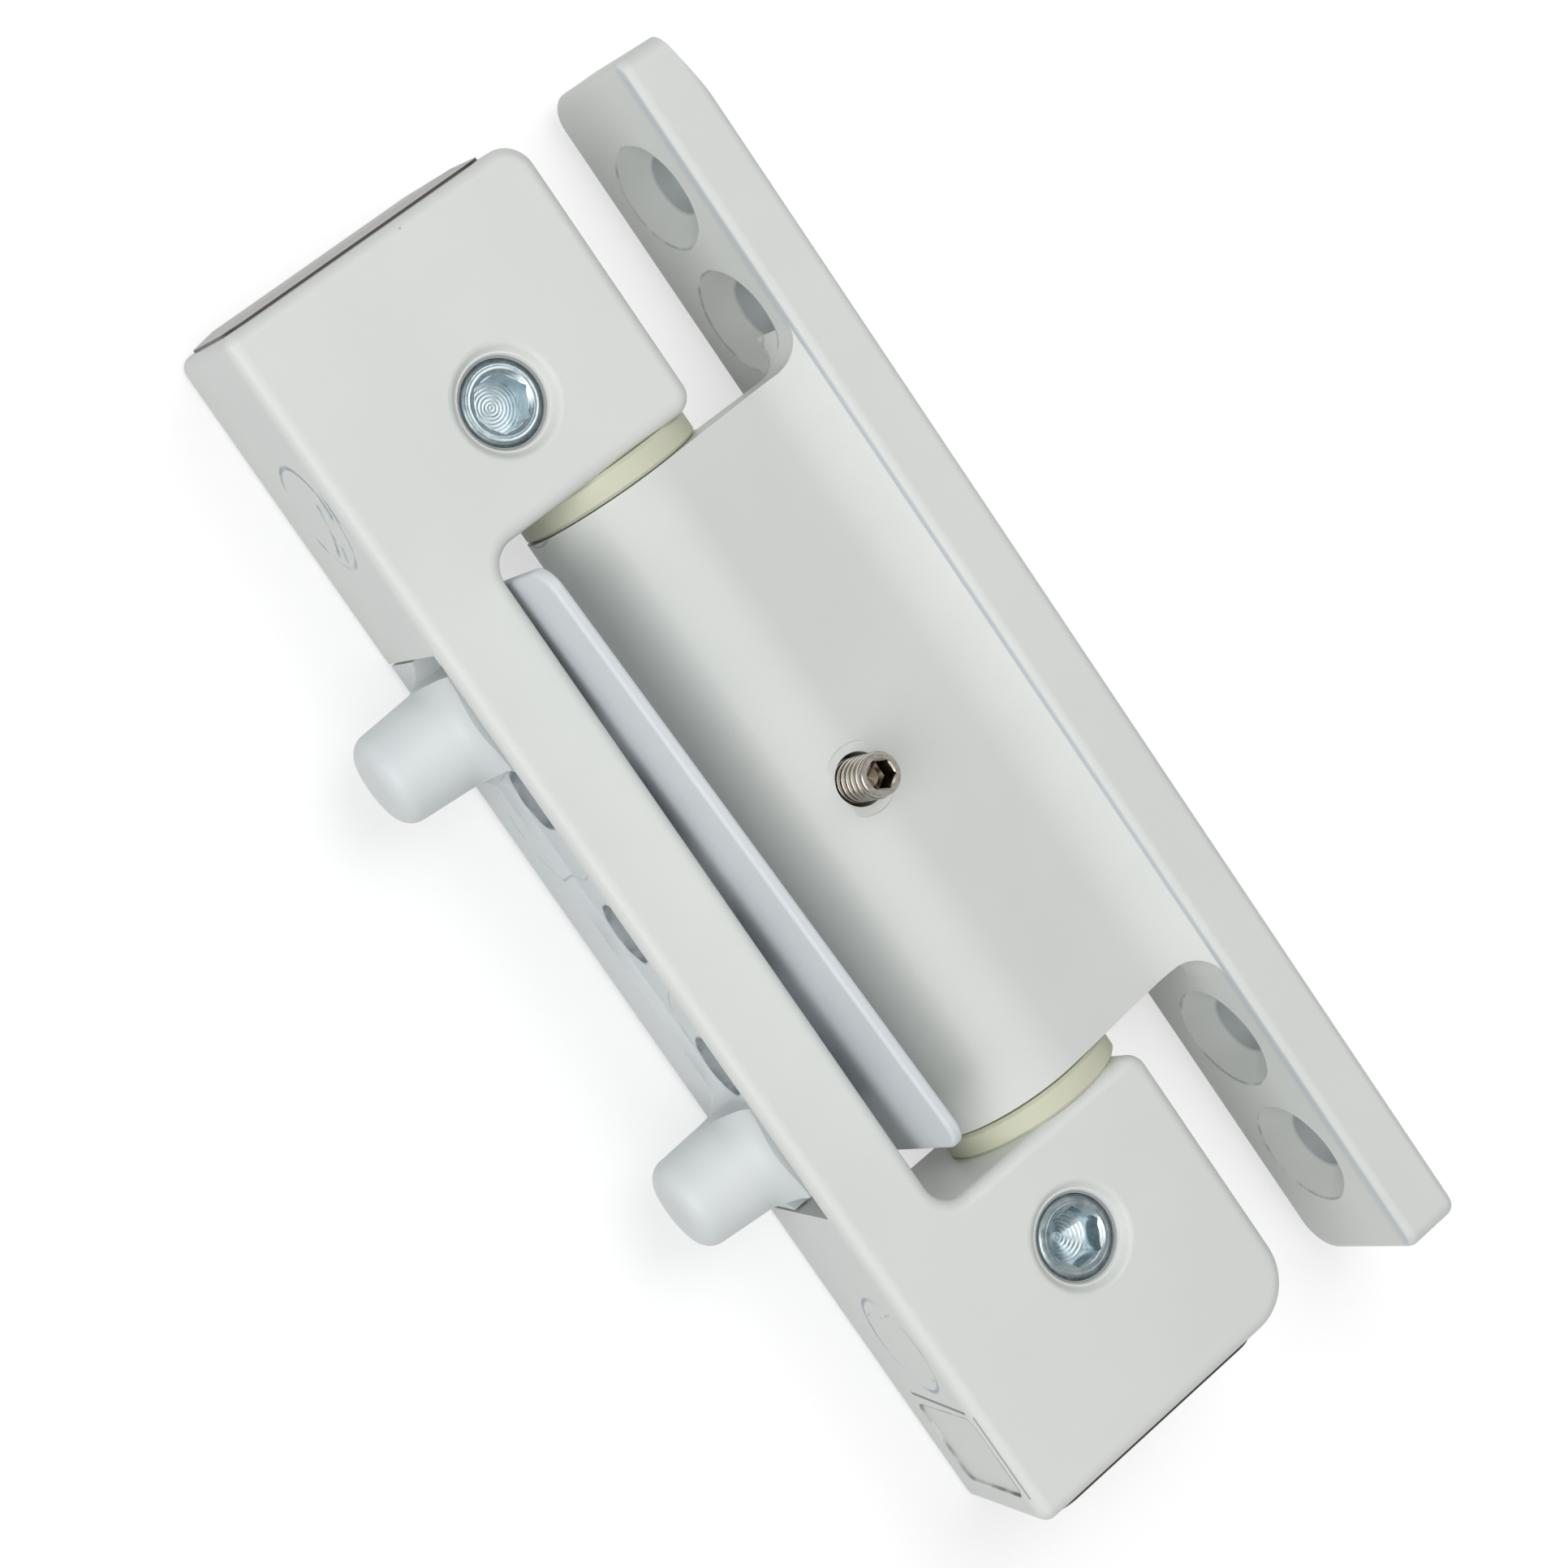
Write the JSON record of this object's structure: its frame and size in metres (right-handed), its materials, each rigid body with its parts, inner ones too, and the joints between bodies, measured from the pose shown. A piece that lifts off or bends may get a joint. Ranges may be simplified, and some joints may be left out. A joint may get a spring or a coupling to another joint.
{
  "type": "security butt hinge",
  "caption": "Adjustable security butt hinge: die-cast body on a studded frame carrier, knuckle leaf on a locked pin, sheet guard strip over the frame screws, depth screws behind hexagon sockets",
  "frame": {"origin": "under the middle of the bounding box, on the floor, with the hinge lying on its back", "axes": "+X runs from the door frame side to the leaf, +Y runs up along the pin, +Z points out of the front face, the side the door opens to"},
  "size_m": [0.0616, 0.135, 0.0242],
  "materials": {
    "white_paint": "white powder coat, half gloss",
    "white_sheet": "smooth white coated sheet steel",
    "white_plastic": "moulded, white",
    "zinc_plate": "bluish bright zinc plating",
    "bright_steel": "turned, bright",
    "nylon": "natural nylon"
  },
  "bodies": {
    "frame_side": {"carrier": "white_paint", "guard_strip": "white_sheet", "strip_screws": "zinc_plate"},
    "body_side": {"hinge_body": "white_paint", "end_cap_upper": "white_plastic", "end_cap_lower": "white_plastic", "bush_upper": "nylon", "bush_lower": "nylon"},
    "leaf_side": {"sash_leaf": "white_paint", "hinge_pin": "bright_steel", "pin_set_screw": "bright_steel"},
    "upper_screw": {"depth_screw_upper": "zinc_plate"},
    "lower_screw": {"depth_screw_lower": "zinc_plate"}
  },
  "joints": [
    {"name": "depth_slide", "type": "slide", "parent": "frame_side", "child": "body_side", "axis": [0, 0, 1], "range_m": [-0.0012, 0.0012]},
    {"name": "leaf_swing", "type": "hinge", "parent": "body_side", "child": "leaf_side", "pos_m": [0.00439, 0.0018, 0.0094], "axis": [0, -1, 0], "range_deg": [0, 100]},
    {"name": "upper_screw_turn", "type": "hinge", "parent": "frame_side", "child": "upper_screw", "pos_m": [-0.00321, 0.0482, 0.0094], "axis": [0, 0, -1], "range_deg": [-346, 346]},
    {"name": "lower_screw_turn", "type": "hinge", "parent": "frame_side", "child": "lower_screw", "pos_m": [-0.00321, -0.0446, 0.0094], "axis": [0, 0, -1], "range_deg": [-346, 346]}
  ],
  "couplings": [
    {"joint": "upper_screw_turn", "follows": "depth_slide", "rad_per_m": 5026.5},
    {"joint": "lower_screw_turn", "follows": "depth_slide", "rad_per_m": 5026.5}
  ]
}
